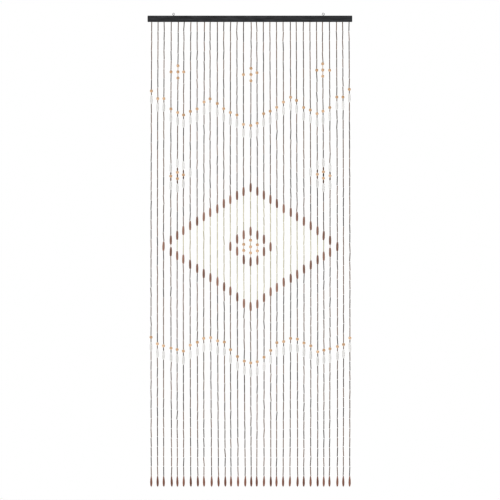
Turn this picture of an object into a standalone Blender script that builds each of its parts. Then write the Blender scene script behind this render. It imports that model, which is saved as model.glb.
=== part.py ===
"""Wooden bead curtain for a doorway, with the bar that it hangs from.

A painted batten hangs by two screw eyes. In a groove along its underside lies a narrow strip,
and from that strip hang 31 beaded strings. Thin beads fill the strings; fat oval and round
beads, placed by the charts below, draw zigzags, three flowers, two small side motifs and a
large diamond across the curtain.

Frame: metres, +Z up, +X along the bar, +Y towards the wall. The origin is midway between the
centres of the two screw eyes, which is where the curtain is held.
"""

import math

import bmesh
import bpy

MM = 0.001

# Bar
BAR_LENGTH = 0.900
BAR_HEIGHT = 0.0267
BAR_DEPTH = 0.015
BAR_EDGE = 0.0012

# Screw eyes, in the top of the bar
EYE_LEFT_X = -0.336
EYE_RIGHT_X = 0.323
EYE_RING = 0.0046
EYE_WIRE = 0.0009
EYE_LIFT = 0.0070
EYE_SHANK_IN = 0.0087
EYE_LEFT_TURN = math.radians(35)
EYE_RIGHT_TURN = 0.0
EYE_STEPS = 24
WIRE_SIDES = 8
ROD_SIDES = 12

# Clearance between pieces that sit in one another, and how far a cutter runs past a face
GAP = 0.0003
OVERRUN = 0.004

# Strip that holds the roots of the strings, in its groove under the bar
STRIP_LENGTH = 0.880
STRIP_DEPTH = 0.0060
STRIP_HEIGHT = 0.0040
STRIP_RECESS = 0.0004

# Strings
STRANDS = 31
MIDDLE = STRANDS // 2
PITCH = 0.029
STRAND_DROP = 2.044
THIN_BEAD = 0.0034
CAP_WELD = 0.00001

# Heights
BAR_TOP = -EYE_LIFT
BAR_UNDER = BAR_TOP - BAR_HEIGHT
STRIP_UNDER = BAR_UNDER + STRIP_RECESS

# Fat beads: length and diameter in millimetres
BEAD_SIZE = {
    "white": (38.5, 10.5),
    "brown": (41.0, 9.6),
    "round": (13.0, 13.0),
    "end": (45.0, 9.4),
}

# Outline of a fat bead between its ends: how far along from its middle, as a share of its
# length, and how wide there, as a share of its radius. The end bead's last row is its tip.
FAT_OUTLINE = ((-0.21, 1.0), (0.21, 1.0))
END_OUTLINE = ((-0.16, 0.86), (0.2, 1.0), (0.5, 0.35))

# How far each string hangs to the right of its even place at its root, halfway down and at its
# foot, in millimetres, from the leftmost string to the rightmost.
#   root, waist, foot
UNEVEN = (
    (3, 0, 1),
    (2, -1, 0),
    (0, -3, -2),
    (2, 0, 4),
    (4, -1, 0),
    (0, -3, -1),
    (1, -2, 1),
    (0, 0, 3),
    (3, 0, 1),
    (-1, 0, 6),
    (2, 2, 7),
    (1, 2, 8),
    (2, 1, 4),
    (1, 2, 6),
    (1, 2, 9),
    (6, 3, 6),
    (1, 4, 1),
    (1, 4, 4),
    (1, 4, 5),
    (1, 3, 1),
    (1, 4, 1),
    (4, 6, 2),
    (1, 5, 7),
    (3, 6, 5),
    (3, 7, 6),
    (3, 8, 8),
    (0, 6, 6),
    (2, 5, 2),
    (4, 8, 8),
    (2, 6, 5),
    (1, 5, 4),
)

# The strings of the left half hang a little lower at the top and a little higher further down.
LEFT_SLIP = 0.011
LEFT_SLIP_FADES = 0.85
LEFT_SLIP_LEAST = -0.003

# Long lines of beads: for each string, by its distance from the middle one, how far below the
# bar hang the round bead of the upper zigzag, the brown beads of the diamond's upper and lower
# edges and the round bead of the lower zigzag, in millimetres. The diamond's edges meet in one
# bead, and the last two strings lie outside it.
#   upper zigzag, diamond top, diamond bottom, lower zigzag
LINES = (
    (456, 729, 1253, 1501),
    (446, 745, 1242, 1496),
    (404, 762, 1214, 1476),
    (393, 781, 1188, 1446),
    (376, 799, 1169, 1412),
    (353, 822, 1146, 1407),
    (332, 838, 1129, 1393),
    (346, 857, 1111, 1396),
    (377, 877, 1088, 1413),
    (388, 897, 1070, 1426),
    (404, 919, 1047, 1452),
    (393, 940, 1031, 1445),
    (377, 961, 1014, 1439),
    (331, 989, None, 1429),
    (331, None, None, 1420),
    (297, None, None, 1391),
)

# A white bead follows each round bead of a zigzag, this much further down in millimetres.
UPPER_WHITE_AFTER = 38
LOWER_WHITE_AFTER = 41

# Flowers: three round beads on the flower's own string and one on each neighbour. The string,
# and how far below the bar its middle bead and the neighbours' beads hang, in millimetres.
#   string, middle, sides
FLOWERS = (
    (MIDDLE - 11, 212, 212),
    (MIDDLE, 232, 224),
    (MIDDLE + 11, 212, 213),
)
PETAL_STEP = 27.5

# Small motifs: the distance of the string from the middle one, the bead, and how far below the
# bar it hangs, in millimetres.
#   away, bead, drop
SIDE_MOTIF = (
    (12, "white", 640),
    (12, "round", 677),
    (12, "white", 718),
    (11, "white", 619),
    (11, "round", 660),
    (11, "round", 688),
    (11, "white", 730),
    (10, "white", 630),
    (10, "round", 671),
    (10, "white", 710),
    (9, "white", 661),
)
CENTRE_MOTIF = (
    (3, "brown", 990),
    (2, "brown", 957),
    (2, "brown", 1011),
    (1, "brown", 938),
    (1, "round", 981),
    (1, "round", 1008),
    (1, "brown", 1049),
    (0, "brown", 922),
    (0, "round", 961),
    (0, "round", 990),
    (0, "round", 1017),
    (0, "brown", 1056),
)


def clear_scene():
    for thing in list(bpy.data.objects):
        bpy.data.objects.remove(thing)


def collection(name):
    made = bpy.data.collections.new(name)
    bpy.context.scene.collection.children.link(made)
    return made


def finish(name, colour, roughness, metallic=0.0):
    material = bpy.data.materials.new(name)
    material.use_nodes = True
    shader = material.node_tree.nodes["Principled BSDF"]
    shader.inputs["Base Color"].default_value = (*colour, 1.0)
    shader.inputs["Roughness"].default_value = roughness
    shader.inputs["Metallic"].default_value = metallic
    return material


def add_object(name, data, home, material=None):
    thing = bpy.data.objects.new(name, data)
    home.objects.link(thing)
    if material:
        data.materials.append(material)
    return thing


def box_mesh(name, size):
    mesh = bpy.data.meshes.new(name)
    shape = bmesh.new()
    bmesh.ops.create_cube(shape, size=1.0)
    bmesh.ops.scale(shape, vec=size, verts=shape.verts)
    shape.to_mesh(mesh)
    shape.free()
    return mesh


def rod_mesh(name, radius, length):
    mesh = bpy.data.meshes.new(name)
    shape = bmesh.new()
    bmesh.ops.create_cone(
        shape, cap_ends=True, segments=ROD_SIDES, radius1=radius, radius2=radius, depth=length
    )
    shape.to_mesh(mesh)
    shape.free()
    return mesh


def make_cutter(name, mesh, place, cutters):
    cutter = add_object(name, mesh, cutters)
    cutter.location = place
    cutter.hide_render = True
    cutter.display_type = "WIRE"
    return cutter


def boolean(target, operand, operation):
    modifier = target.modifiers.new(operand.name, "BOOLEAN")
    modifier.operation = operation
    modifier.solver = "EXACT"
    modifier.object = operand


def make_bar(parts, cutters, material):
    """The batten, with the strip's groove along its underside and a pilot hole for each eye."""
    bar = add_object("bar", box_mesh("bar", (BAR_LENGTH, BAR_DEPTH, BAR_HEIGHT)), parts, material)
    bar.location.z = BAR_TOP - BAR_HEIGHT / 2
    edge = bar.modifiers.new("worn_edges", "BEVEL")
    edge.width = BAR_EDGE
    edge.segments = 2
    groove_height = STRIP_RECESS + STRIP_HEIGHT + GAP
    size = (STRIP_LENGTH + 2 * GAP, STRIP_DEPTH + 2 * GAP, groove_height + OVERRUN)
    place = (0, 0, BAR_UNDER + (groove_height - OVERRUN) / 2)
    groove = make_cutter("groove", box_mesh("groove", size), place, cutters)
    boolean(bar, groove, "DIFFERENCE")
    hole_depth = EYE_SHANK_IN + GAP
    for side, x in (("left", EYE_LEFT_X), ("right", EYE_RIGHT_X)):
        rod = rod_mesh("pilot_hole", EYE_WIRE + GAP, hole_depth + OVERRUN)
        place = (x, 0, BAR_TOP + (OVERRUN - hole_depth) / 2)
        hole = make_cutter(f"pilot_hole_{side}", rod, place, cutters)
        boolean(bar, hole, "DIFFERENCE")


def make_screw_eye(name, x, turn, parts, cutters, material):
    """A wire ring on a straight shank, which goes into the bar's pilot hole."""
    bpy.ops.mesh.primitive_torus_add(
        major_radius=EYE_RING,
        minor_radius=EYE_WIRE,
        major_segments=EYE_STEPS,
        minor_segments=WIRE_SIDES,
        rotation=(math.pi / 2, 0, turn),
        location=(x, 0, 0),
    )
    eye = bpy.context.active_object
    eye.name = name
    eye.data.name = name
    for home in list(eye.users_collection):
        home.objects.unlink(eye)
    parts.objects.link(eye)
    eye.data.materials.append(material)
    top = -EYE_RING
    bottom = BAR_TOP - EYE_SHANK_IN
    shank = rod_mesh("shank", EYE_WIRE, top - bottom)
    place = (x, 0, (top + bottom) / 2)
    boolean(eye, make_cutter(f"shank_{name}", shank, place, cutters), "UNION")


def left_slip(drop):
    """How much lower a bead of the left half hangs than the chart says."""
    return max(LEFT_SLIP * (1 - drop / LEFT_SLIP_FADES), LEFT_SLIP_LEAST)


def flower_beads(strand):
    beads = []
    for stem, middle, sides in FLOWERS:
        if strand == stem:
            beads += [("round", middle + step) for step in (-PETAL_STEP, 0, PETAL_STEP)]
        elif abs(strand - stem) == 1:
            beads.append(("round", sides))
    return beads


def fat_beads(strand):
    """The fat beads of one string, from the top down, as (kind, drop of its middle)."""
    away = abs(strand - MIDDLE)
    upper, diamond_top, diamond_bottom, lower = LINES[away]
    beads = [("round", upper), ("white", upper + UPPER_WHITE_AFTER)]
    beads += [("round", lower), ("white", lower + LOWER_WHITE_AFTER)]
    beads += [("brown", drop) for drop in (diamond_top, diamond_bottom) if drop]
    beads += [(kind, drop) for row, kind, drop in SIDE_MOTIF + CENTRE_MOTIF if row == away]
    beads += flower_beads(strand)
    beads = [(kind, drop * MM) for kind, drop in beads]
    if strand < MIDDLE:
        beads = [(kind, drop + left_slip(drop)) for kind, drop in beads]
    beads.append(("end", STRAND_DROP - BEAD_SIZE["end"][0] * MM / 2))
    return sorted(beads, key=lambda bead: bead[1])


def bead_rings(kind, drop):
    """One fat bead as (drop, radius) rings on its string, from the top down."""
    length, diameter = (size * MM for size in BEAD_SIZE[kind])
    rings = [(drop - length / 2, THIN_BEAD / 2)]
    outline = END_OUTLINE if kind == "end" else FAT_OUTLINE
    rings += [(drop + along * length, wide * diameter / 2) for along, wide in outline]
    if kind != "end":
        rings.append((drop + length / 2, THIN_BEAD / 2))
    return rings


def strand_rings(strand):
    """The whole string as (drop, radius) rings, from inside the strip to its last bead's tip."""
    rings = [(-STRIP_RECESS - STRIP_HEIGHT / 2, THIN_BEAD / 2)]
    for kind, drop in fat_beads(strand):
        rings += bead_rings(kind, drop)
    return rings


def strand_x(strand, drop):
    """Where the string hangs at this drop: a slow curve through its root, waist and foot."""
    root, waist, foot = UNEVEN[strand]
    down = max(drop, 0.0) / STRAND_DROP
    sway = root * (1 - 2 * down) * (1 - down) + waist * 4 * down * (1 - down)
    sway += foot * down * (2 * down - 1)
    return (strand - MIDDLE) * PITCH + sway * MM


def make_strings(cutters):
    """All the strings as four-sided tubes, one spline each, turned into one mesh."""
    curve = bpy.data.curves.new("strings", "CURVE")
    curve.dimensions = "3D"
    curve.bevel_depth = THIN_BEAD / 2
    curve.bevel_resolution = 0
    curve.use_fill_caps = True
    for strand in range(STRANDS):
        rings = strand_rings(strand)
        spline = curve.splines.new("POLY")
        spline.points.add(len(rings) - 1)
        for point, (drop, radius) in zip(spline.points, rings):
            point.co = (strand_x(strand, drop), 0.0, BAR_UNDER - drop, 1.0)
            point.radius = radius / (THIN_BEAD / 2)
    route = add_object("string_routes", curve, cutters)
    bpy.context.view_layer.update()
    graph = bpy.context.evaluated_depsgraph_get()
    mesh = bpy.data.meshes.new_from_object(route.evaluated_get(graph))
    bpy.data.objects.remove(route)
    shape = bmesh.new()
    shape.from_mesh(mesh)
    bmesh.ops.remove_doubles(shape, verts=shape.verts, dist=CAP_WELD)
    shape.to_mesh(mesh)
    shape.free()
    return make_cutter("strings", mesh, (0, 0, 0), cutters)


def make_strands(parts, cutters, material):
    """The strip in the bar's groove, with every string fused to it at its root."""
    strip = box_mesh("strands", (STRIP_LENGTH, STRIP_DEPTH, STRIP_HEIGHT))
    strands = add_object("strands", strip, parts, material)
    strands.location.z = STRIP_UNDER + STRIP_HEIGHT / 2
    boolean(strands, make_strings(cutters), "UNION")


def main():
    clear_scene()
    parts = collection("bead_curtain_with_bar")
    cutters = collection("cutters")
    paint = finish("charcoal_paint", (0.066, 0.068, 0.073), 0.6)
    steel = finish("bright_steel", (0.33, 0.33, 0.34), 0.32, metallic=1.0)
    wood = finish("dark_bead_wood", (0.136, 0.08, 0.053), 0.5)
    make_bar(parts, cutters, paint)
    make_screw_eye("screw_eye_left", EYE_LEFT_X, EYE_LEFT_TURN, parts, cutters, steel)
    make_screw_eye("screw_eye_right", EYE_RIGHT_X, EYE_RIGHT_TURN, parts, cutters, steel)
    make_strands(parts, cutters, wood)


main()
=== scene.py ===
# %% [markdown]
# # A bead curtain on its bar
# This lesson dresses a bead curtain: 31 strings of wooden beads on a painted batten, which hangs
# by two screw eyes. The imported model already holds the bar, the eyes and a plain solid for the
# strings, all at their real size and place, so it is loaded first and everything new is placed
# by it. Lengths are in metres, with X along the bar, Y towards the wall and Z up.

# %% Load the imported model
import math
import random

import bpy
from mathutils import Euler, Matrix, Vector


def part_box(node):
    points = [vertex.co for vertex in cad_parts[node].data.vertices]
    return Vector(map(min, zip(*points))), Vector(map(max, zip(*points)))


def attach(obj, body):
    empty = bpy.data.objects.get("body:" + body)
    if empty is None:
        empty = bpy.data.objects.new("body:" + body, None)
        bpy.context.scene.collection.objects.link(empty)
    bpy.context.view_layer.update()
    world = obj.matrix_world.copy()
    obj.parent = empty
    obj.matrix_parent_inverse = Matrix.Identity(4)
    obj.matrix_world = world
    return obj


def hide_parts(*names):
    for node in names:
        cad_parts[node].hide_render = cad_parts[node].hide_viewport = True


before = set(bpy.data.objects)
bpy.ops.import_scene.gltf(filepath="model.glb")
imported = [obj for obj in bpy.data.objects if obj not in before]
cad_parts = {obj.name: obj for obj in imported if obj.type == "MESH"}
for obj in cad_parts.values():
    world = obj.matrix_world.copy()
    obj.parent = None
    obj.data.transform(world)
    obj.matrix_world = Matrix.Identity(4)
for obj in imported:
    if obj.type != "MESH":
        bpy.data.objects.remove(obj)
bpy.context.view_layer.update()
MM = 0.001
BAR_LOW, BAR_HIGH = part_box("bar")
STRINGS_LOW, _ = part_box("strands")
print("bar", [round(side / MM, 1) for side in BAR_HIGH - BAR_LOW], "mm")

# %% [markdown]
# ## Where the strings hang
# The strings are evenly spaced along the bar, but none of them hangs dead straight. Each one has
# three small sideways offsets, at its root, halfway down and at its foot, and a smooth curve runs
# through the three. The same rule shaped the solid, so the beads follow it.

# %% Sizes of the strings
STRANDS = 31
MIDDLE = STRANDS // 2
PITCH = 0.029
BAR_TOP = BAR_HIGH.z
BAR_UNDER = BAR_LOW.z
STRAND_DROP = BAR_UNDER - STRINGS_LOW.z

# root, waist, foot: millimetres to the right of the string's even place
UNEVEN = (
    (3, 0, 1), (2, -1, 0), (0, -3, -2), (2, 0, 4), (4, -1, 0), (0, -3, -1), (1, -2, 1), (0, 0, 3),
    (3, 0, 1), (-1, 0, 6), (2, 2, 7), (1, 2, 8), (2, 1, 4), (1, 2, 6), (1, 2, 9), (6, 3, 6),
    (1, 4, 1), (1, 4, 4), (1, 4, 5), (1, 3, 1), (1, 4, 1), (4, 6, 2), (1, 5, 7), (3, 6, 5),
    (3, 7, 6), (3, 8, 8), (0, 6, 6), (2, 5, 2), (4, 8, 8), (2, 6, 5), (1, 5, 4),
)


def strand_x(strand, drop):
    """Where the string hangs at this drop below the bar."""
    root, waist, foot = UNEVEN[strand]
    down = min(max(drop / STRAND_DROP, 0.0), 1.0)
    sway = root * (1 - 2 * down) * (1 - down) + waist * 4 * down * (1 - down)
    sway += foot * down * (2 * down - 1)
    return (strand - MIDDLE) * PITCH + sway * MM


print("strings", STRANDS, "drop", round(STRAND_DROP, 3), "m")

# %% [markdown]
# ## The chart of the special beads
# A maker strings beads by a chart. Two zigzags of orange and white beads cross the curtain, brown
# beads draw a large diamond, and small motifs fill in between. The design is the same left and
# right, so a row of the chart says how far a string is from the middle one, and one row serves
# both sides.

# %% Chart
# upper zigzag, diamond top, diamond bottom, lower zigzag, from the middle string outwards
LINES = (
    (456, 729, 1253, 1501), (446, 745, 1242, 1496), (404, 762, 1214, 1476), (393, 781, 1188, 1446),
    (376, 799, 1169, 1412), (353, 822, 1146, 1407), (332, 838, 1129, 1393), (346, 857, 1111, 1396),
    (377, 877, 1088, 1413), (388, 897, 1070, 1426), (404, 919, 1047, 1452), (393, 940, 1031, 1445),
    (377, 961, 1014, 1439), (331, 989, None, 1429), (331, None, None, 1420), (297, None, None, 1391),
)
UPPER_WHITE_AFTER = 38
LOWER_WHITE_AFTER = 41

# string, drop of the middle bead, drop of the beads at its sides
FLOWERS = ((MIDDLE - 11, 212, 212), (MIDDLE, 232, 224), (MIDDLE + 11, 212, 213))
PETAL_STEP = 27.5

# distance from the middle string, bead, drop
SIDE_MOTIF = (
    (12, "white", 640), (12, "round", 677), (12, "white", 718),
    (11, "white", 619), (11, "round", 660), (11, "round", 688), (11, "white", 730),
    (10, "white", 630), (10, "round", 671), (10, "white", 710),
    (9, "white", 661),
)
CENTRE_MOTIF = (
    (3, "brown", 990),
    (2, "brown", 957), (2, "brown", 1011),
    (1, "brown", 938), (1, "round", 981), (1, "round", 1008), (1, "brown", 1049),
    (0, "brown", 922), (0, "round", 961), (0, "round", 990), (0, "round", 1017),
    (0, "brown", 1056),
)

# The left half hangs a little lower at the top and a little higher further down.
LEFT_SLIP = 0.011
LEFT_SLIP_FADES = 0.85
LEFT_SLIP_LEAST = -0.003

# length and diameter of each special bead, in millimetres
BEAD_SIZE = {
    "white": (38.5, 10.5),
    "brown": (41.0, 9.6),
    "round": (13.0, 13.0),
    "end": (45.0, 9.4),
}
print("chart rows", len(LINES) + len(FLOWERS) + len(SIDE_MOTIF) + len(CENTRE_MOTIF))

# %% [markdown]
# ## Reading the chart
# The chart is read one string at a time, as a maker would with the thread in hand. The answer is
# a plain list of beads from the top down, and the last bead is always the brown one at the foot.


# %% One string of the chart
def flower_beads(strand):
    """The round beads that this string adds to the flowers, as (kind, drop of its middle)."""
    beads = []
    for stem, middle, sides in FLOWERS:
        if strand == stem:
            beads += [("round", middle + step) for step in (-PETAL_STEP, 0, PETAL_STEP)]
        elif abs(strand - stem) == 1:
            beads.append(("round", sides))
    return beads


def left_slip(drop):
    """How far a bead of the left half is moved down from the chart's drop."""
    return max(LEFT_SLIP * (1 - drop / LEFT_SLIP_FADES), LEFT_SLIP_LEAST)


def special_beads(strand):
    """The special beads of one string, from the top down, as (kind, drop of its middle)."""
    away = abs(strand - MIDDLE)
    upper, diamond_top, diamond_bottom, lower = LINES[away]
    beads = [("round", upper), ("white", upper + UPPER_WHITE_AFTER)]
    beads += [("round", lower), ("white", lower + LOWER_WHITE_AFTER)]
    beads += [("brown", drop) for drop in (diamond_top, diamond_bottom) if drop]
    beads += [(kind, drop) for row, kind, drop in SIDE_MOTIF + CENTRE_MOTIF if row == away]
    beads = [(kind, drop * MM) for kind, drop in beads + flower_beads(strand)]
    if strand < MIDDLE:
        beads = [(kind, drop + left_slip(drop)) for kind, drop in beads]
    beads.append(("end", STRAND_DROP - BEAD_SIZE["end"][0] * MM / 2))
    return sorted(beads, key=lambda bead: bead[1])


print("special beads", sum(len(special_beads(strand)) for strand in range(STRANDS)))

# %% [markdown]
# ## Camera
# The curtain is seen straight on from far away, so that its strings look parallel. A long lens
# does that: the frame is only a little wider than the curtain is tall.

# %% Camera
VIEW_DISTANCE = 16.0
VIEW_WIDTH = 2.2005
VIEW_CENTRE = Vector((0.0005, 0.0, -1.0378))
SENSOR = 36.0
NEAREST, FARTHEST = 0.1, 100.0

lens = bpy.data.cameras.new("camera")
lens.sensor_width = SENSOR
lens.lens = SENSOR * VIEW_DISTANCE / VIEW_WIDTH
lens.clip_start = NEAREST
lens.clip_end = FARTHEST
camera = bpy.data.objects.new("camera", lens)
bpy.context.scene.collection.objects.link(camera)
camera.location = VIEW_CENTRE - Vector((0, VIEW_DISTANCE, 0))
camera.rotation_euler = (math.pi / 2, 0, 0)
bpy.context.scene.camera = camera
print("lens", round(lens.lens, 1), "mm")

# %% [markdown]
# ## White sky
# Thin dark strings show best against plain white. The sky is pure white where the camera sees it
# and gives a weaker, even light to the curtain, so that dark wood stays dark. The Light Path
# node tells the two kinds of ray apart. The Standard view keeps white at pure white.

# %% Sky
SKY_SEEN = 1.0
SKY_LIGHT = 0.46
VIEW_GAMMA = 0.7

scene = bpy.context.scene
scene.view_settings.view_transform = "Standard"
scene.view_settings.gamma = VIEW_GAMMA
sky = bpy.data.worlds.new("white_studio")
sky.use_nodes = True
nodes, links = sky.node_tree.nodes, sky.node_tree.links
ray = nodes.new("ShaderNodeLightPath")
strength = nodes.new("ShaderNodeMapRange")
strength.inputs["To Min"].default_value = SKY_LIGHT
strength.inputs["To Max"].default_value = SKY_SEEN
links.new(ray.outputs["Is Camera Ray"], strength.inputs["Value"])
links.new(strength.outputs["Result"], nodes["Background"].inputs["Strength"])
nodes["Background"].inputs["Color"].default_value = (1, 1, 1, 1)
scene.world = sky
print("sky light", SKY_LIGHT)

# %% [markdown]
# ## Soft lamps and a pale floor
# Two large square lamps stand in front of the curtain, each turned to its middle. The stronger
# one at the upper left gives every bead a brighter side, and the weaker one fills in from the
# right. A third lamp lights the back in the same way. A sheet of matt white paper is the floor,
# clear of the strings. It glows a little, as paper does that is lit from below.

# %% Lamps and floor
FLOOR_GAP = 0.30
FLOOR_SIZE = 7.0
FLOOR_GLOW = 0.25
PAPER_WHITE = 0.95
PAPER_ROUGHNESS = 0.9
LAMPS = (
    # name, spot, size, power
    ("soft_key", (-3.6, -5.0, 1.2), 3.0, 170.0),
    ("soft_fill", (4.5, -4.0, 0.0), 3.0, 75.0),
    ("soft_back", (2.5, 6.0, 0.6), 3.0, 110.0),
)

for name, spot, size, power in LAMPS:
    lamp = bpy.data.lights.new(name, "AREA")
    lamp.size = size
    lamp.energy = power
    stand = bpy.data.objects.new(name, lamp)
    scene.collection.objects.link(stand)
    stand.location = spot
    stand.rotation_euler = (VIEW_CENTRE - Vector(spot)).to_track_quat("-Z", "Y").to_euler()


def deselect():
    for thing in bpy.context.selected_objects:
        thing.select_set(False)


deselect()
bpy.ops.mesh.primitive_plane_add(size=FLOOR_SIZE, location=(0, 0, STRINGS_LOW.z - FLOOR_GAP))
floor = bpy.context.active_object
floor.name = "floor"
paper = bpy.data.materials.new("white_paper")
paper.use_nodes = True
sheet = paper.node_tree.nodes["Principled BSDF"].inputs
sheet["Base Color"].default_value = (PAPER_WHITE, PAPER_WHITE, PAPER_WHITE, 1)
sheet["Roughness"].default_value = PAPER_ROUGHNESS
sheet["Specular IOR Level"].default_value = 0.0
sheet["Emission Color"].default_value = (1, 1, 1, 1)
sheet["Emission Strength"].default_value = FLOOR_GLOW
floor.data.materials.append(paper)
print("floor", round(floor.location.z, 3), "m")

# %% [markdown]
# ## A streaky finish
# Wood, paint and metal all vary in fine streaks. On the real thing these are the grain, the
# brush marks and the drawing lines of the wire. One helper makes them all: noise on Object
# coordinates, squeezed by a Mapping node, drives a colour ramp and a faint bump. A Mapping scale
# is how many streaks fit in a metre along each axis.

# %% Streaks
STREAK_DETAIL = 4.0
STREAK_ROUGHNESS = 0.6
RELIEF_STRENGTH = 0.5
EVEN_RAMP = (0.3, 0.7)
GRAIN_DEPTH = 0.00005


def streaked(name, streaks, dark, light, ramp=EVEN_RAMP, depth=GRAIN_DEPTH):
    """A material whose colour and relief follow streaks. Returns it with its noise and ramp."""
    material = bpy.data.materials.new(name)
    material.use_nodes = True
    nodes, links = material.node_tree.nodes, material.node_tree.links
    shader = nodes["Principled BSDF"]
    spot = nodes.new("ShaderNodeTexCoord")
    squeeze = nodes.new("ShaderNodeMapping")
    squeeze.inputs["Scale"].default_value = streaks
    grain = nodes.new("ShaderNodeTexNoise")
    grain.inputs["Scale"].default_value = 1.0
    grain.inputs["Detail"].default_value = STREAK_DETAIL
    grain.inputs["Roughness"].default_value = STREAK_ROUGHNESS
    links.new(spot.outputs["Object"], squeeze.inputs["Vector"])
    links.new(squeeze.outputs["Vector"], grain.inputs["Vector"])
    stain = nodes.new("ShaderNodeValToRGB")
    for element, position, colour in zip(stain.color_ramp.elements, ramp, (dark, light)):
        element.position = position
        element.color = (*colour, 1)
    links.new(grain.outputs["Fac"], stain.inputs["Fac"])
    links.new(stain.outputs["Color"], shader.inputs["Base Color"])
    relief = nodes.new("ShaderNodeBump")
    relief.inputs["Strength"].default_value = RELIEF_STRENGTH
    relief.inputs["Distance"].default_value = depth
    links.new(grain.outputs["Fac"], relief.inputs["Height"])
    links.new(relief.outputs["Normal"], shader.inputs["Normal"])
    return material, grain, stain


print("streaks ready")

# %% [markdown]
# ## Stained and lacquered wood
# Beads from one dye bath still differ, so each bead carries a number of its own, called tone,
# and its colour lies between a dark and a light version of the stain. The tone is added to the
# streaks before they reach the colour ramp, so one material serves a whole batch of beads.

# %% Wood finishes
GRAIN = (1400, 1400, 45)
STREAK_SHARE = 0.6
TONE_RAMP = (0.25, 0.95)
COAT_ROUGHNESS = 0.2


def wood(name, dark, light, roughness, gloss, coat):
    """A streaked wood whose colour also follows the tone of each bead."""
    material, grain, stain = streaked(name, GRAIN, dark, light, TONE_RAMP)
    nodes, links = material.node_tree.nodes, material.node_tree.links
    tone = nodes.new("ShaderNodeAttribute")
    tone.attribute_name = "tone"
    both = nodes.new("ShaderNodeMath")
    both.operation = "MULTIPLY_ADD"
    both.inputs[1].default_value = STREAK_SHARE
    links.new(grain.outputs["Fac"], both.inputs[0])
    links.new(tone.outputs["Fac"], both.inputs[2])
    links.new(both.outputs["Value"], stain.inputs["Fac"])
    shader = nodes["Principled BSDF"]
    shader.inputs["Roughness"].default_value = roughness
    shader.inputs["Specular IOR Level"].default_value = gloss
    shader.inputs["Coat Weight"].default_value = coat
    shader.inputs["Coat Roughness"].default_value = COAT_ROUGHNESS
    return material


WOODS = {
    # finish: dark stain, light stain, roughness, gloss, coat
    "dark_bead_wood": ((0.038, 0.020, 0.011), (0.235, 0.140, 0.095), 0.5, 0.25, 0.0),
    "cream_bead_wood": ((0.50, 0.46, 0.31), (0.69, 0.645, 0.475), 0.5, 0.2, 0.0),
    "white_bead_wood": ((0.755, 0.745, 0.73), (0.86, 0.85, 0.835), 0.4, 0.4, 0.05),
    "brown_bead_wood": ((0.295, 0.176, 0.136), (0.445, 0.275, 0.215), 0.4, 0.2, 0.0),
    "end_bead_wood": ((0.232, 0.122, 0.091), (0.362, 0.193, 0.145), 0.4, 0.2, 0.0),
    "orange_bead_wood": ((0.68, 0.465, 0.30), (0.83, 0.61, 0.43), 0.4, 0.2, 0.0),
    "blush_spacer_wood": ((0.62, 0.49, 0.41), (0.79, 0.67, 0.58), 0.45, 0.2, 0.0),
}
woods = {name: wood(name, *finish) for name, finish in WOODS.items()}
print("wood finishes", list(woods))

# %% [markdown]
# ## Turning a bead
# A turner cuts a bead from a rod and drills it through. The same is done here: a cylinder is cut
# across into rings with Bisect, each ring is scaled to the bead's outline, and the hole comes
# from an inset at both ends and a bridge between the two small faces. That leaves one closed
# skin that a thread can really pass through.

# %% Turning
SAME_HEIGHT = 0.000001
FLAT = 0.99
SIDE_CORNERS = 4
SMOOTH_BELOW = math.radians(50)


def pick_end_faces(bead, heights):
    """Selects the flat faces that close the bead at these heights."""
    bpy.ops.mesh.select_all(action="DESELECT")
    bpy.ops.object.mode_set(mode="OBJECT")
    for face in bead.data.polygons:
        level = any(abs(face.center.z - height) < SAME_HEIGHT for height in heights)
        closing = abs(face.normal.z) > FLAT and len(face.vertices) > SIDE_CORNERS
        face.select = level and closing
    bpy.ops.object.mode_set(mode="EDIT")


def pick_ring(bead, height):
    """Selects the points of the bead at this height."""
    bpy.ops.mesh.select_all(action="DESELECT")
    bpy.ops.object.mode_set(mode="OBJECT")
    for point in bead.data.vertices:
        point.select = abs(point.co.z - height) < SAME_HEIGHT
    bpy.ops.object.mode_set(mode="EDIT")


def turn_bead(name, length, diameter, hole, sides, outline):
    """A bead about the origin. The outline gives (place along the length, share of the width)."""
    deselect()
    bpy.ops.mesh.primitive_cylinder_add(vertices=sides, radius=diameter / 2, depth=length)
    bead = bpy.context.active_object
    bead.name = name
    bpy.ops.object.mode_set(mode="EDIT")
    bpy.ops.mesh.select_mode(type="VERT")
    for along, _ in outline[1:-1]:
        bpy.ops.mesh.select_all(action="SELECT")
        bpy.ops.mesh.bisect(plane_co=(0, 0, along * length), plane_no=(0, 0, 1))
    for along, wide in outline:
        pick_ring(bead, along * length)
        bpy.ops.transform.resize(value=(wide, wide, 1), center_override=(0, 0, along * length))
    bpy.ops.mesh.select_mode(type="FACE")
    ends = (outline[0], outline[-1])
    for along, wide in ends:
        pick_end_faces(bead, (along * length,))
        rim = wide * diameter / 2 * math.cos(math.pi / sides)
        bpy.ops.mesh.inset(thickness=rim - hole / 2)
    pick_end_faces(bead, [along * length for along, _ in ends])
    bpy.ops.mesh.bridge_edge_loops()
    bpy.ops.mesh.select_all(action="SELECT")
    bpy.ops.mesh.normals_make_consistent(inside=False)
    bpy.ops.object.mode_set(mode="OBJECT")
    bpy.ops.object.shade_smooth_by_angle(angle=SMOOTH_BELOW)
    print(name, len(bead.data.polygons), "faces")
    return bead


# %% [markdown]
# ## One bead of each kind
# Six patterns are enough. The thin tube and the short stub fill the strings. The oval is a
# little fuller in its lower half, the ball is round, and the drop at the foot of a string is
# heaviest near its lower end. Each outline runs from the bottom of the bead to its top.

# %% Bead patterns
THREAD = 0.0008
HOLE = 0.0014
THIN_LENGTH = 0.040
THIN_DIAMETER = 0.0034
STUB_LENGTH = 0.015
STUB_DIAMETER = 0.0058
THIN_SIDES = 8
FAT_SIDES = 16

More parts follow.
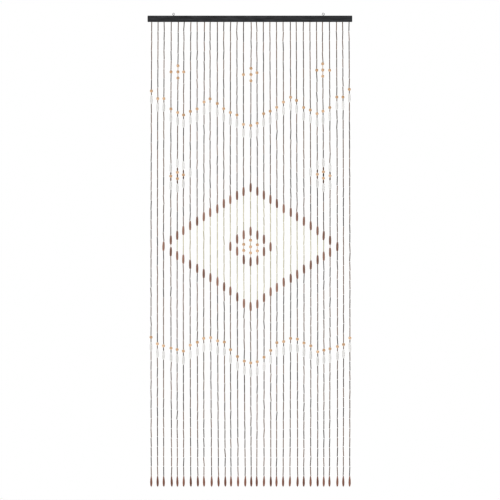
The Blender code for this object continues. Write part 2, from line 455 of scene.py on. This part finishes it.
TUBE = ((-0.5, 0.72), (-0.46, 1.0), (0.46, 1.0), (0.5, 0.72))
STUB = ((-0.5, 0.6), (-0.25, 0.95), (0.25, 0.95), (0.5, 0.6))
OVAL = (
    (-0.5, 0.46), (-0.47, 0.64), (-0.38, 0.86), (-0.2, 0.99), (0, 1.0),
    (0.2, 0.95), (0.37, 0.80), (0.46, 0.58), (0.5, 0.42),
)
BALL = (
    (-0.5, 0.32), (-0.46, 0.5), (-0.34, 0.77), (-0.17, 0.95), (0, 1.0),
    (0.17, 0.95), (0.34, 0.77), (0.46, 0.5), (0.5, 0.32),
)
DROP = (
    (-0.5, 0.45), (-0.47, 0.62), (-0.36, 0.84), (-0.18, 1.0), (0.0, 0.96),
    (0.2, 0.78), (0.38, 0.55), (0.47, 0.42), (0.5, 0.36),
)
OUTLINES = {"white": OVAL, "brown": OVAL, "round": BALL, "end": DROP}

models = {
    "thin": turn_bead("thin_bead", THIN_LENGTH, THIN_DIAMETER, HOLE, THIN_SIDES, TUBE),
    "stub": turn_bead("stub_bead", STUB_LENGTH, STUB_DIAMETER, HOLE, THIN_SIDES, STUB),
}
for kind, outline in OUTLINES.items():
    length, diameter = (size * MM for size in BEAD_SIZE[kind])
    models[kind] = turn_bead(f"{kind}_bead", length, diameter, HOLE, FAT_SIDES, outline)

# %% [markdown]
# ## What fills a string
# Between two special beads the string is filled with thin ones. The stretch is shared out evenly,
# because a maker picks thin beads that fill it. Inside the diamond they are pale. Between the
# rounds of a flower, and where two brown beads almost meet, they are blush. In the side motifs
# they are short dark stubs, and everywhere else they are dark.

# %% Filling plan
THIN_STEP = 0.042
LEAST_FILL = 0.002
BLUSH_STRETCH = 0.016
FLOWER_REACH = 1.4 * PETAL_STEP * MM
MOTIF_ROWS = (10, 11, 12)
MOTIF_TOP = 0.630
MOTIF_BOTTOM = 0.725


def filling(strand, top, bottom):
    """What fills the stretch between these drops, as (kind, finish)."""
    middle = (top + bottom) / 2
    browns = [drop for kind, drop in special_beads(strand) if kind == "brown"]
    if len(browns) > 1 and browns[0] < middle < browns[-1]:
        return "thin", "blush" if bottom - top < BLUSH_STRETCH else "pale"
    for stem, petal, _ in FLOWERS:
        if strand == stem and abs(middle - petal * MM) < FLOWER_REACH:
            return "thin", "blush"
    if abs(strand - MIDDLE) in MOTIF_ROWS and MOTIF_TOP < middle < MOTIF_BOTTOM:
        return "stub", "stub"
    return "thin", "dark"


def string_plan(strand):
    """Every bead of one string, as (kind, finish, top, bottom)."""
    plan = []
    above = 0.0
    for kind, drop in special_beads(strand):
        half = BEAD_SIZE[kind][0] * MM / 2
        top = drop - half
        fill, finish = filling(strand, above, top)
        count = max(1, round((top - above) / THIN_STEP))
        step = (top - above) / count
        if top - above > LEAST_FILL:
            for number in range(count):
                start = above + number * step
                plan.append((fill, finish, start, above + (number + 1) * step))
        plan.append((kind, kind, top, drop + half))
        above = drop + half
    return plan


plans = [string_plan(strand) for strand in range(STRANDS)]
print("beads on the curtain", sum(len(plan) for plan in plans))

# %% [markdown]
# ## Stringing the beads
# Every bead is a copy of its pattern with a mesh of its own, stretched to its length on the
# string and turned to a chance angle about it. Holes are never drilled quite true, so each bead
# also sits a little askew. The gaps between thin beads open towards the foot, where less weight
# hangs below them. The ends of each hole are noted for the thread. The chances come from one
# seeded list, so the curtain hangs the same way each time.

# %% Stringing
GAP_AT_ROOT = 0.0008
GAP_AT_FOOT = 0.0020
LEAN = {"thin": math.radians(1.6), "special": math.radians(0.8)}
TONE_MIDDLE = 0.35
TONE_SPREAD = 0.3
TONE_MOST = 0.9
ROOT_LENGTH = 0.002
TAIL_LENGTH = 0.004
SEED = 31
chance = random.Random(SEED)
strung = {}
routes = []


def string_bead(strand, kind, finish, top, bottom):
    """Places one bead and returns the two ends of its hole."""
    thin = kind in ("thin", "stub")
    lean = LEAN["thin" if thin else "special"]
    slope = math.atan2(strand_x(strand, bottom) - strand_x(strand, top), bottom - top)
    turn = Euler((chance.gauss(0, lean), chance.gauss(0, lean) - slope, 0)).to_matrix().to_4x4()
    spin = Matrix.Rotation(chance.uniform(0, math.tau), 4, "Z")
    gap = GAP_AT_ROOT + (GAP_AT_FOOT - GAP_AT_ROOT) * top / STRAND_DROP
    length = bottom - top - (gap if thin else 0)
    stretch = Matrix.Diagonal((1, 1, length / models[kind].dimensions.z, 1))
    centre = Vector((strand_x(strand, (top + bottom) / 2), 0, BAR_UNDER - (top + bottom) / 2))
    bead = models[kind].copy()
    bead.data = models[kind].data.copy()
    scene.collection.objects.link(bead)
    bead.data.transform(Matrix.Translation(centre) @ turn @ spin @ stretch)
    tone = bead.data.attributes.new("tone", "FLOAT", "POINT")
    shade = min(max(chance.gauss(TONE_MIDDLE, TONE_SPREAD), 0), TONE_MOST)
    tone.data.foreach_set("value", [shade] * len(bead.data.vertices))
    strung.setdefault(finish, []).append(bead)
    reach = turn @ Vector((0, 0, length / 2))
    return centre + reach, centre - reach


for strand, plan in enumerate(plans):
    route = [Vector((strand_x(strand, 0), 0, BAR_UNDER + ROOT_LENGTH))]
    for bead in plan:
        route += string_bead(strand, *bead)
    route.append(route[-1] - Vector((0, 0, TAIL_LENGTH)))
    routes.append(route)
print({finish: len(beads) for finish, beads in strung.items()})

# %% [markdown]
# ## Joining each kind
# More than sixteen hundred loose objects are slow to work with, so the beads of one finish are
# joined into one mesh. Each bead stays a closed shape of its own inside it. The pieces stand
# for the plain solid of the strings, which is hidden from now on.

# %% Joining
PIECES = {
    # finish: piece, wood, slot
    "dark": ("thin_dark_beads", "dark_bead_wood", "dark_bead_wood"),
    "stub": ("short_dark_beads", "dark_bead_wood", "dark_bead_wood"),
    "pale": ("thin_cream_beads", "cream_bead_wood", "cream_bead_wood"),
    "blush": ("thin_blush_beads", "blush_spacer_wood", "cream_bead_wood"),
    "white": ("white_oval_beads", "white_bead_wood", "white_bead_wood"),
    "brown": ("brown_oval_beads", "brown_bead_wood", "brown_bead_wood"),
    "end": ("brown_end_beads", "end_bead_wood", "brown_bead_wood"),
    "round": ("orange_round_beads", "orange_bead_wood", "orange_bead_wood"),
}


def join(things, name):
    """Makes one named object of several."""
    deselect()
    for thing in things:
        thing.select_set(True)
    bpy.context.view_layer.objects.active = things[0]
    bpy.ops.object.join()
    things[0].name = name
    things[0].data.name = name
    return things[0]


def hang(piece, material):
    """Finishes a piece of the strings: its material, what it rides on and what it stands for."""
    piece.data.materials.clear()
    piece.data.materials.append(material)
    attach(piece, "root")
    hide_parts("strands")
    print(piece.name, sum(len(face.vertices) - 2 for face in piece.data.polygons), "triangles")


for finish, (name, material, slot) in PIECES.items():
    hang(join(strung[finish], name), woods[material])
for model in models.values():
    bpy.data.objects.remove(model)

# %% [markdown]
# ## Thread finish
# The thread is twisted nylon. Its fine plies run round it, which a wave texture draws as a change
# between two pale tones.

# %% Thread finish
PLIES = 900.0
PLY_WAVER = 1.5
THREAD_ROUGHNESS = 0.6

twine = bpy.data.materials.new("pale_thread")
twine.use_nodes = True
nodes, links = twine.node_tree.nodes, twine.node_tree.links
spot = nodes.new("ShaderNodeTexCoord")
ply = nodes.new("ShaderNodeTexWave")
ply.inputs["Scale"].default_value = PLIES
ply.inputs["Distortion"].default_value = PLY_WAVER
plies = nodes.new("ShaderNodeValToRGB")
plies.color_ramp.elements[0].color = (0.52, 0.48, 0.42, 1)
plies.color_ramp.elements[1].color = (0.80, 0.76, 0.70, 1)
links.new(spot.outputs["Object"], ply.inputs["Vector"])
links.new(ply.outputs["Fac"], plies.inputs["Fac"])
links.new(plies.outputs["Color"], nodes["Principled BSDF"].inputs["Base Color"])
nodes["Principled BSDF"].inputs["Roughness"].default_value = THREAD_ROUGHNESS
print("thread finish ready")

# %% [markdown]
# ## Threads
# One thread runs from the bar through every bead of its string and out at the bottom. It is a
# curve through the ends of the holes, with a round section, and becomes a mesh so that it can be
# finished like the rest. The caps of a curve are loose, so they are merged to its sides.

# %% Threads
THREAD_ROUNDING = 1
MERGE_REACH = 0.00001

curve = bpy.data.curves.new("threads", "CURVE")
curve.dimensions = "3D"
curve.bevel_depth = THREAD / 2
curve.bevel_resolution = THREAD_ROUNDING
curve.use_fill_caps = True
for route in routes:
    spline = curve.splines.new("POLY")
    spline.points.add(len(route) - 1)
    for point, spot in zip(spline.points, route):
        point.co = (*spot, 1)
threads = bpy.data.objects.new("threads", curve)
scene.collection.objects.link(threads)
deselect()
threads.select_set(True)
bpy.context.view_layer.objects.active = threads
bpy.ops.object.convert(target="MESH")
threads = bpy.context.active_object
bpy.ops.object.mode_set(mode="EDIT")
bpy.ops.mesh.select_all(action="SELECT")
bpy.ops.mesh.remove_doubles(threshold=MERGE_REACH)
bpy.ops.mesh.normals_make_consistent(inside=False)
bpy.ops.object.mode_set(mode="OBJECT")
threads.name = "threads"
threads.data.name = "threads"
hang(threads, twine)

# %% [markdown]
# ## Knots at the feet
# A knot under the last bead keeps the whole string on its thread. An overhand knot this small
# looks like two crossed turns of thread, so a ring is copied, tipped over and moved a little.

# %% Knots
KNOT_RADIUS = 0.0008
KNOT_WIRE = 0.00055
KNOT_TIP = math.radians(50)
KNOT_DROP = 0.0009
KNOT_STEPS = 10
KNOT_SIDES = 6

deselect()
bpy.ops.mesh.primitive_torus_add(
    major_radius=KNOT_RADIUS,
    minor_radius=KNOT_WIRE,
    major_segments=KNOT_STEPS,
    minor_segments=KNOT_SIDES,
)
turn_of_thread = bpy.context.active_object
bpy.ops.object.mode_set(mode="EDIT")
bpy.ops.mesh.duplicate()
bpy.ops.transform.rotate(value=KNOT_TIP, orient_axis="X", center_override=(0, 0, 0))
bpy.ops.transform.translate(value=(0, 0, -KNOT_DROP / 2))
bpy.ops.object.mode_set(mode="OBJECT")
bpy.ops.object.shade_smooth()
knots = []
for route in routes:
    knot = turn_of_thread.copy()
    knot.data = turn_of_thread.data.copy()
    scene.collection.objects.link(knot)
    spin = Matrix.Rotation(chance.uniform(0, math.tau), 4, "Z")
    knot.data.transform(Matrix.Translation(route[-2] - Vector((0, 0, KNOT_DROP))) @ spin)
    knots.append(knot)
bpy.data.objects.remove(turn_of_thread)
hang(join(knots, "knots"), twine)

# %% [markdown]
# ## Painted wood
# The bar is painted a dark grey. Brush marks run along it, and the wood's grain just shows
# through as a faint relief, so the streaks are long in X and fine across.

# %% Paint
BRUSH_MARKS = (24, 330, 330)
BRUSH_DEPTH = 0.0002
PAINT_DARK = (0.032, 0.033, 0.035)
PAINT_LIGHT = (0.108, 0.111, 0.118)
PAINT_ROUGHNESS = 0.6
PAINT_GLOSS = 0.25

paint, _, _ = streaked("charcoal_paint", BRUSH_MARKS, PAINT_DARK, PAINT_LIGHT, depth=BRUSH_DEPTH)
coat = paint.node_tree.nodes["Principled BSDF"].inputs
coat["Roughness"].default_value = PAINT_ROUGHNESS
coat["Specular IOR Level"].default_value = PAINT_GLOSS
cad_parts["bar"].data.materials.clear()
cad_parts["bar"].data.materials.append(paint)
print("bar painted")

# %% [markdown]
# ## The strip in the groove
# A narrow strip is let into the underside of the bar, and the strings come out of small dimples
# in it. It starts as a cube, which Bisect cuts on both sides of each string. The small faces
# between the cuts are then inset and pushed up.

# %% Root strip
STRIP_LENGTH = 0.880
STRIP_DEPTH = 0.0060
STRIP_HEIGHT = 0.0040
STRIP_RECESS = 0.0004
DIMPLE = 0.003
DIMPLE_RIM = 0.0004
DIMPLE_DEPTH = 0.001
ROUNDING_ROOM = 1.01

deselect()
strip_under = BAR_UNDER + STRIP_RECESS
bpy.ops.mesh.primitive_cube_add(size=1, location=(0, 0, strip_under + STRIP_HEIGHT / 2))
strip = bpy.context.active_object
strip.name = "root_strip"
strip.data.name = "root_strip"
strip.scale = (STRIP_LENGTH, STRIP_DEPTH, STRIP_HEIGHT)
bpy.ops.object.transform_apply(location=True, rotation=True, scale=True)
bpy.ops.object.mode_set(mode="EDIT")
for strand in range(STRANDS):
    for side in (-1, 1):
        bpy.ops.mesh.select_all(action="SELECT")
        cut = strand_x(strand, 0) + side * DIMPLE / 2
        bpy.ops.mesh.bisect(plane_co=(cut, 0, 0), plane_no=(1, 0, 0))
bpy.ops.mesh.select_mode(type="FACE")
bpy.ops.mesh.select_all(action="DESELECT")
bpy.ops.object.mode_set(mode="OBJECT")
small = ROUNDING_ROOM * DIMPLE * STRIP_DEPTH
for face in strip.data.polygons:
    face.select = face.normal.z < -FLAT and face.area < small
bpy.ops.object.mode_set(mode="EDIT")
bpy.ops.mesh.inset(thickness=DIMPLE_RIM, use_individual=True)
bpy.ops.mesh.extrude_region_move(TRANSFORM_OT_translate={"value": (0, 0, DIMPLE_DEPTH)})
bpy.ops.object.mode_set(mode="OBJECT")
hang(strip, paint)

# %% [markdown]
# ## Zinc-plated wire
# The screw eyes are bent from zinc-plated wire. The plating has gone slightly hazy, so small soft
# spots of darker and lighter metal cover it. Both tones are darker than bare zinc: that darkness is
# painted dark reflection, in place of the dim surroundings that bright metal mirrors.

# %% Steel
HAZE_SPOTS = (700, 700, 700)
HAZE_DEPTH = 0.00001
# both plating tones are darker than bare zinc: painted dark reflection
STEEL_DARK = (0.22, 0.22, 0.225)
STEEL_LIGHT = (0.38, 0.38, 0.39)
STEEL_ROUGHNESS = 0.32

steel, _, _ = streaked("bright_steel", HAZE_SPOTS, STEEL_DARK, STEEL_LIGHT, depth=HAZE_DEPTH)
plating = steel.node_tree.nodes["Principled BSDF"].inputs
plating["Roughness"].default_value = STEEL_ROUGHNESS
plating["Metallic"].default_value = 1.0
print("steel ready")

# %% [markdown]
# ## Screw eyes
# A screw eye is one length of wire: a pointed shank, a tight bend and a ring that almost closes.
# The wire's section is a filled circle near the foot of the ring. Spin sweeps it round the ring.
# Then the face that was left behind is spun about a point outside the ring for the bend, and
# extruded down into the bar to a tip.

# %% Screw eyes
EYE_RING = 0.0046
EYE_WIRE = 0.0021
EYE_BEND = 0.0015
EYE_MOUTH = math.radians(16)
EYE_SIDES = 12
RING_STEPS = 32
BEND_STEPS = 6
SHANK_IN = 0.0085
SHANK_TIP = 0.002
TIP_WIDTH = 0.2


def pick_face_at(thing, spot):
    """Selects the one flat end face whose middle is nearest to this spot."""
    bpy.ops.mesh.select_all(action="DESELECT")
    bpy.ops.object.mode_set(mode="OBJECT")
    ends = [face for face in thing.data.polygons if len(face.vertices) == EYE_SIDES]
    min(ends, key=lambda face: (face.center - spot).length).select = True
    bpy.ops.object.mode_set(mode="EDIT")


def bend_screw_eye():
    """A screw eye with its ring about the origin and its shank down into the bar."""
    deselect()
    lead = math.asin(EYE_BEND / (EYE_RING + EYE_BEND))
    foot = Vector((math.sin(lead), 0, -math.cos(lead)))
    bpy.ops.mesh.primitive_circle_add(
        vertices=EYE_SIDES,
        radius=EYE_WIRE / 2,
        fill_type="NGON",
        location=foot * EYE_RING,
        rotation=(0, math.pi / 2 - lead, 0),
    )
    eye = bpy.context.active_object
    bpy.ops.object.transform_apply(location=True, rotation=True, scale=True)
    bpy.ops.object.mode_set(mode="EDIT")
    bpy.ops.mesh.select_mode(type="FACE")
    bpy.ops.mesh.select_all(action="SELECT")
    ring_angle = math.tau - lead - EYE_MOUTH
    bpy.ops.mesh.spin(steps=RING_STEPS, angle=ring_angle, center=(0, 0, 0), axis=(0, 1, 0))
    pick_face_at(eye, foot * EYE_RING)
    bend_middle = foot * (EYE_RING + EYE_BEND)
    bend_angle = math.pi / 2 - lead
    bpy.ops.mesh.spin(steps=BEND_STEPS, angle=bend_angle, center=bend_middle, axis=(0, 1, 0))
    pick_face_at(eye, bend_middle - Vector((EYE_BEND, 0, 0)))
    straight = bend_middle.z - (BAR_TOP - SHANK_IN + SHANK_TIP)
    bpy.ops.mesh.extrude_region_move(TRANSFORM_OT_translate={"value": (0, 0, -straight)})
    bpy.ops.mesh.extrude_region_move(TRANSFORM_OT_translate={"value": (0, 0, -SHANK_TIP)})
    tip = (0, 0, BAR_TOP - SHANK_IN)
    bpy.ops.transform.resize(value=(TIP_WIDTH, TIP_WIDTH, 1), center_override=tip)
    bpy.ops.mesh.select_all(action="SELECT")
    bpy.ops.mesh.normals_make_consistent(inside=False)
    bpy.ops.object.mode_set(mode="OBJECT")
    bpy.ops.object.shade_smooth_by_angle(angle=SMOOTH_BELOW)
    return eye


pattern = bend_screw_eye()
print("screw eye", len(pattern.data.polygons), "faces")

# %% [markdown]
# ## The two eyes in their places
# Both eyes are copies of the bent one. Each stands for its plain solid and sits in its hole. The
# left one was not screwed in quite as far round, so it shows at an angle.

# %% Eyes in place
EYES = (
    # name, node, place along the bar, turn
    ("wire_eye_left", "screw_eye_left", -0.336, math.radians(35)),
    ("wire_eye_right", "screw_eye_right", 0.323, 0.0),
)

for name, node, along, turn in EYES:
    eye = pattern.copy()
    eye.data = pattern.data.copy()
    scene.collection.objects.link(eye)
    eye.name = name
    eye.data.name = name
    eye.data.transform(Matrix.Translation((along, 0, 0)) @ Matrix.Rotation(turn, 4, "Z"))
    eye.data.materials.append(steel)
    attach(eye, "root")
    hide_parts(node)
    print(name, [round(side / MM, 1) for side in eye.dimensions], "mm")
bpy.data.objects.remove(pattern)
